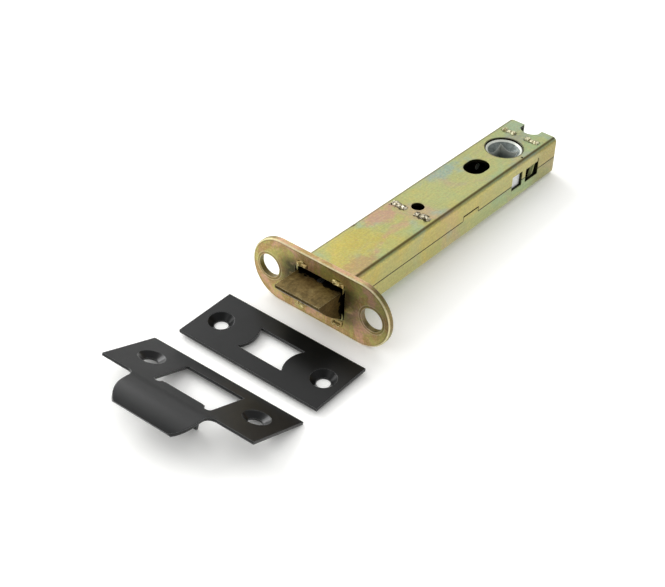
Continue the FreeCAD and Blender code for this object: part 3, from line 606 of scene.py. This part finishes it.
# runs a tree once with its inputs set and keeps the result as a plain mesh
def bakeTree(name, tree, values):
    holder = addObject(name + "Maker", bpy.data.meshes.new(name + "Empty"))
    modifier = holder.modifiers.new("maker", "NODES")
    modifier.node_group = tree
    for item in tree.interface.items_tree:
        if item.item_type == "SOCKET" and item.in_out == "INPUT":
            modifier[item.identifier] = values[item.name]
    bpy.context.view_layer.update()
    ready = holder.evaluated_get(bpy.context.evaluated_depsgraph_get())
    mesh = bpy.data.meshes.new_from_object(ready)
    holder.modifiers.remove(modifier)
    bpy.data.objects.remove(holder)
    mesh.name = name
    return addObject(name, mesh)


# each coil takes its ends, its radius and its height from the plain CAD spring that it replaces
coils = {
    "boltCoil": {"node": "bolt_spring", "body": "drawbar", "joint": "bolt_push",
                 "wire": 0.0005, "turns": 9.0},
    "leverCoil": {"node": "lever_spring", "body": "latch", "joint": "drawbar_slide",
                  "wire": 0.00065, "turns": 6.0},
}
coilShape = {"points": 400, "sides": 14, "play": 0.00005}


# coil along X with closed ends
def coilTree(shape):
    tree, given = startTree("coilTree", {"Start": "Float", "End": "Float", "Coil Radius": "Float",
                                         "Wire Radius": "Float", "Turns": "Float", "Height": "Float",
                                         "Finish": "Material"})
    line = addNode(tree, "GeometryNodeMeshLine", values={"Count": shape["points"]})
    curve = addNode(tree, "GeometryNodeMeshToCurve", links={"Mesh": line.outputs["Mesh"]})
    index = addNode(tree, "GeometryNodeInputIndex").outputs[0]
    turned = maths(tree, "MULTIPLY", maths(tree, "DIVIDE", index, shape["points"] - 1.0), given["Turns"])
    # the first and last turn lie flat, with the free turns between them
    pitch = maths(tree, "MULTIPLY", given["Wire Radius"], 2.0)
    freeTurns = maths(tree, "SUBTRACT", given["Turns"], 2.0)
    share = maths(tree, "DIVIDE", maths(tree, "SUBTRACT", turned, 1.0), freeTurns)
    share = maths(tree, "MINIMUM", maths(tree, "MAXIMUM", share, 0.0), 1.0)
    first = maths(tree, "MULTIPLY", maths(tree, "MINIMUM", turned, 1.0), pitch)
    lastTurn = maths(tree, "SUBTRACT", turned, maths(tree, "SUBTRACT", given["Turns"], 1.0))
    last = maths(tree, "MULTIPLY", maths(tree, "MAXIMUM", lastTurn, 0.0), pitch)
    span = maths(tree, "SUBTRACT", given["End"], given["Start"])
    free = maths(tree, "SUBTRACT", span, maths(tree, "MULTIPLY", pitch, 3.0))
    lead = maths(tree, "ADD", maths(tree, "ADD", first, last), maths(tree, "MULTIPLY", share, free))
    along = maths(tree, "ADD", maths(tree, "ADD", given["Start"], given["Wire Radius"]), lead)
    angle = maths(tree, "MULTIPLY", turned, 2 * math.pi)
    across = maths(tree, "MULTIPLY", maths(tree, "COSINE", angle), given["Coil Radius"])
    high = maths(tree, "MULTIPLY", maths(tree, "SINE", angle), given["Coil Radius"])
    spot = addNode(tree, "ShaderNodeCombineXYZ",
                   links={"X": along, "Y": across, "Z": maths(tree, "ADD", high, given["Height"])})
    placed = addNode(tree, "GeometryNodeSetPosition",
                     links={"Geometry": curve.outputs["Curve"], "Position": spot.outputs["Vector"]})
    ring = addNode(tree, "GeometryNodeCurvePrimitiveCircle", values={"Resolution": shape["sides"]},
                   links={"Radius": given["Wire Radius"]})
    tube = addNode(tree, "GeometryNodeCurveToMesh", values={"Fill Caps": True},
                   links={"Curve": placed.outputs["Geometry"], "Profile Curve": ring.outputs["Curve"]})
    smooth = addNode(tree, "GeometryNodeSetShadeSmooth", links={"Geometry": tube.outputs["Mesh"]})
    return endTree(tree, smooth.outputs["Geometry"], given["Finish"])


coil = coilTree(coilShape)
for name, spec in coils.items():
    low, high = boxOf(spec["node"])
    height = (low.z + high.z) / 2
    piece = bakeTree(name, coil, {
        "Start": low.x, "End": high.x, "Coil Radius": high.y - spec["wire"], "Wire Radius": spec["wire"],
        "Turns": spec["turns"], "Height": height, "Finish": finishes["oiledSpringWire"]})
    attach(piece, spec["body"])
    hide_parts(spec["node"])
    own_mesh(piece)
print("springs made")

# the leaf bows towards the flags
leafShape = {"top": 0.0030, "reach": 0.0018, "drop": 0.0030, "play": 0.0001, "weld": 0.000001}
leafSeat = boxOf("return_leaf")[1].x
leaf = addObject("bowedLeaf", nodes["return_leaf"].data.copy())
welded = bmesh.new()
welded.from_mesh(leaf.data)
bmesh.ops.remove_doubles(welded, verts=welded.verts, dist=leafShape["weld"])
welded.to_mesh(leaf.data)
welded.free()
for vertex in leaf.data.vertices:
    share = min(max((leafShape["top"] - vertex.co.z) / leafShape["drop"], 0.0), 1.0)
    vertex.co.x -= leafShape["reach"] * share * share * (3 - 2 * share)
padsEnd = boxOf("shoe_right")[1].x + joints["drawbar_slide"]["range_m"][1] + leafShape["play"]
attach(leaf, "latch")
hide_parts("return_leaf")
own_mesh(leaf)
print("leaf bowed")

# lumps in metres: noise per metre, so grains are 0.7 mm; shift and growth are shares of the lump's size
lumpShape = {"noise": 1400.0, "shift": Vector((0.6, 0.3, 0.25)), "least": 0.6, "most": 1.25, "dent": 0.9}


# row of uneven lumps of struck metal between two points
def lumpTree(shape):
    tree, given = startTree("lumpTree", {"Start": "Vector", "End": "Vector", "Count": "Int", "Size": "Float",
                                         "Stretch": "Vector", "Torn": "Float", "Seed": "Int",
                                         "Finish": "Material"})
    tear = maths(tree, "MULTIPLY", given["Size"], given["Torn"])
    line = addNode(tree, "GeometryNodeMeshLine", settings={"mode": "END_POINTS"},
                   links={"Count": given["Count"], "Start Location": given["Start"], "Offset": given["End"]})
    ball = addNode(tree, "GeometryNodeMeshIcoSphere", values={"Radius": 1.0, "Subdivisions": 3})
    jitter = addNode(tree, "FunctionNodeRandomValue", settings={"data_type": "FLOAT_VECTOR"},
                     values={"Min": -shape["shift"], "Max": shape["shift"]}, links={"Seed": given["Seed"]})
    away = addNode(tree, "ShaderNodeVectorMath", settings={"operation": "SCALE"},
                   links={0: jitter.outputs[0], "Scale": tear})
    moved = addNode(tree, "GeometryNodeSetPosition",
                    links={"Geometry": line.outputs["Mesh"], "Offset": away.outputs["Vector"]})
    grown = addNode(tree, "FunctionNodeRandomValue", settings={"data_type": "FLOAT_VECTOR"},
                    values={"Min": [shape["least"]] * 3, "Max": [shape["most"]] * 3},
                    links={"Seed": given["Seed"]})
    shaped = addNode(tree, "ShaderNodeVectorMath", settings={"operation": "MULTIPLY"},
                     links={0: grown.outputs[0], 1: given["Stretch"]})
    sized = addNode(tree, "ShaderNodeVectorMath", settings={"operation": "SCALE"},
                    links={0: shaped.outputs["Vector"], "Scale": given["Size"]})
    rows = addNode(tree, "GeometryNodeInstanceOnPoints",
                   links={"Points": moved.outputs["Geometry"], "Instance": ball.outputs["Mesh"],
                          "Scale": sized.outputs["Vector"]})
    real = addNode(tree, "GeometryNodeRealizeInstances", links={"Geometry": rows.outputs["Instances"]})
    field = addNode(tree, "ShaderNodeTexNoise", values={"Scale": shape["noise"], "Detail": 3.0})
    normal = addNode(tree, "GeometryNodeInputNormal")
    push = maths(tree, "MULTIPLY", maths(tree, "SUBTRACT", field.outputs["Fac"], 0.5), tear)
    dent = addNode(tree, "ShaderNodeVectorMath", settings={"operation": "SCALE"},
                   links={0: normal.outputs["Normal"], "Scale": maths(tree, "MULTIPLY", push, shape["dent"])})
    torn = addNode(tree, "GeometryNodeSetPosition",
                   links={"Geometry": real.outputs["Geometry"], "Offset": dent.outputs["Vector"]})
    return endTree(tree, torn.outputs["Geometry"], given["Finish"])


lumps = lumpTree(lumpShape)


def struckRow(name, seed, start, end, spec):
    piece = bakeTree(name + str(seed), lumps, {
        "Start": start, "End": end, "Count": spec["count"], "Size": spec["size"], "Stretch": spec["stretch"],
        "Torn": spec["torn"], "Seed": seed, "Finish": finishes[spec["finish"]]})
    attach(piece, "latch")


# heads of the bridges' tabs, above and below; each bridge starts where the node that is named ends
bridgeHalf = 0.0008
heads = {
    "frontTabs": {"behind": "lever_spring", "inner": 0.0033, "outer": 0.0069,
                  "above": 0.0082, "below": -0.0082, "count": 3,
                  "size": 0.0012, "stretch": (1.05, 0.72, 0.75), "torn": 0.8,
                  "finish": "hammeredTabs"},
    "rearTabs": {"behind": "return_leaf", "inner": 0.0035, "outer": 0.0067,
                 "above": 0.0080, "below": -0.0073, "count": 2,
                 "size": 0.0011, "stretch": (0.80, 0.80, 0.75), "torn": 0.3,
                 "finish": "pressedTabs"},
}
seed = 3
for name, spec in heads.items():
    x = boxOf(spec["behind"])[1].x + bridgeHalf
    for side in (-1, 1):
        for z in (spec["below"], spec["above"]):
            seed += 1
            struckRow(name, seed, (x, side * spec["inner"], z), (x, side * spec["outer"], z), spec)

# heads of the case's tabs on the forend's front
peens = {"x": -0.00045, "y": 0.008, "half": 0.0011, "levels": (0.00765, -0.0085),
         "count": 3, "size": 0.0011, "stretch": (0.55, 1.0, 0.85), "torn": 1.0, "finish": "peenedTabs"}
for z in peens["levels"]:
    for side in (-1, 1):
        middle = side * peens["y"]
        seed += 1
        struckRow("peenedTabs", seed, (peens["x"], middle - peens["half"], z),
                  (peens["x"], middle + peens["half"], z), peens)
print("struck heads made")

floorLook = {"shade": "#f2f2ef", "glow": 0.36, "glowFade": 0.022, "mirrorGlow": 0.50, "size": 6.0}


# white paper: it glows for the camera, less where it is closed in, so it stays white and keeps its shadows;
# it also glows in reflections, which brightens the parts that mirror it
def paleFloor(look):
    material = bpy.data.materials.new("whitePaper")
    material.use_nodes = True
    tree = material.node_tree
    tree.nodes.clear()
    matt = addNode(tree, "ShaderNodeBsdfDiffuse", values={"Color": linearHex(look["shade"])})
    glow = addNode(tree, "ShaderNodeEmission", values={"Color": (1, 1, 1, 1)})
    path = addNode(tree, "ShaderNodeLightPath")
    opening = addNode(tree, "ShaderNodeAmbientOcclusion", settings={"samples": 8},
                      values={"Distance": look["glowFade"]})
    glowHere = maths(tree, "MULTIPLY", opening.outputs["AO"], look["glow"])
    direct = maths(tree, "MULTIPLY", path.outputs["Is Camera Ray"], glowHere)
    amount = maths(tree, "MULTIPLY_ADD", path.outputs["Is Glossy Ray"], look["mirrorGlow"], direct)
    tree.links.new(amount, glow.inputs["Strength"])
    both = addNode(tree, "ShaderNodeAddShader", links={0: matt.outputs[0], 1: glow.outputs[0]})
    addNode(tree, "ShaderNodeOutputMaterial", links={"Surface": both.outputs[0]})
    return material


# the latch is level, so the paper leans: it meets the forend's lower back edge and the tail's lower edge
rest = latchSize["forendHalf"] - latchSize["halfHeight"]
lean = math.atan2(rest, latchSize["tail"] - latchSize["forendThick"])
drop = (latchSize["forendHalf"] + latchSize["forendThick"] * math.tan(lean)) / 1000
half = floorLook["size"] / 2
floorMesh = bpy.data.meshes.new("floor")
corners = [(-half, -half, 0), (half, -half, 0), (half, half, 0), (-half, half, 0)]
floorMesh.from_pydata(corners, [], [(0, 1, 2, 3)])
floorMesh.materials.append(paleFloor(floorLook))
floorMesh.transform(Matrix.Translation((0, 0, -drop)) @ Matrix.Rotation(-lean, 4, "Y"))
addObject("floor", floorMesh)

# a dim white room that the camera sees as pure white
worldLight = 0.45
world = bpy.data.worlds.new("studio")
bpy.context.scene.world = world
world.use_nodes = True
air = world.node_tree
air.nodes.clear()
path = addNode(air, "ShaderNodeLightPath")
seen = maths(air, "MAXIMUM", path.outputs["Is Camera Ray"], path.outputs["Is Transmission Ray"])
strength = maths(air, "MULTIPLY_ADD", seen, 1.0 - worldLight, worldLight)
sky = addNode(air, "ShaderNodeBackground", values={"Color": (1, 1, 1, 1)}, links={"Strength": strength})
addNode(air, "ShaderNodeOutputWorld", links={"Surface": sky.outputs[0]})

lamps = {
    "backSoftbox": {"at": (0.10, 0.90, 0.50), "aim": (0.04, 0.0, 0.0), "size": (0.9, 0.6), "power": 9.0},
    "topSoftbox": {"at": (0.95, 0.65, 1.15), "aim": (0.05, 0.0, 0.0), "size": (1.6, 1.4), "power": 7.0},
    "sideFill": {"at": (0.05, -0.90, 0.32), "aim": (0.05, 0.0, 0.0), "size": (0.9, 0.4), "power": 2.5},
    "frontFill": {"at": (-0.80, 0.25, 0.40), "aim": (0.0, 0.0, 0.0), "size": (0.7, 0.5), "power": 2.0},
}
for name, spec in lamps.items():
    light = bpy.data.lights.new(name, "AREA")
    light.shape = "RECTANGLE"
    light.size, light.size_y = spec["size"]
    light.energy = spec["power"]
    lamp = addObject(name, light)
    lamp.location = spec["at"]
    lamp.rotation_euler = (Vector(spec["aim"]) - Vector(spec["at"])).to_track_quat("-Z", "Y").to_euler()
    lamp.visible_camera = False

# the camera was fitted to the photograph; right and down are the picture's own directions
view = {"at": (-0.29945, -0.24312, 0.29540), "right": (0.64107, -0.76674, 0.03373),
        "down": (-0.44984, -0.41100, -0.79292), "lens": 78.2, "sensor": 36.0, "near": 0.01}
camera = addObject("camera", bpy.data.cameras.new("camera"))
right, down = Vector(view["right"]).normalized(), Vector(view["down"]).normalized()
turn = Matrix((right, -down, -right.cross(down))).transposed().to_4x4()
camera.matrix_world = Matrix.Translation(view["at"]) @ turn
camera.data.lens = view["lens"]
camera.data.sensor_width = view["sensor"]
camera.data.clip_start = view["near"]
bpy.context.scene.camera = camera
bpy.context.scene.view_settings.view_transform = "Standard"
print("floor, lamps and camera set")
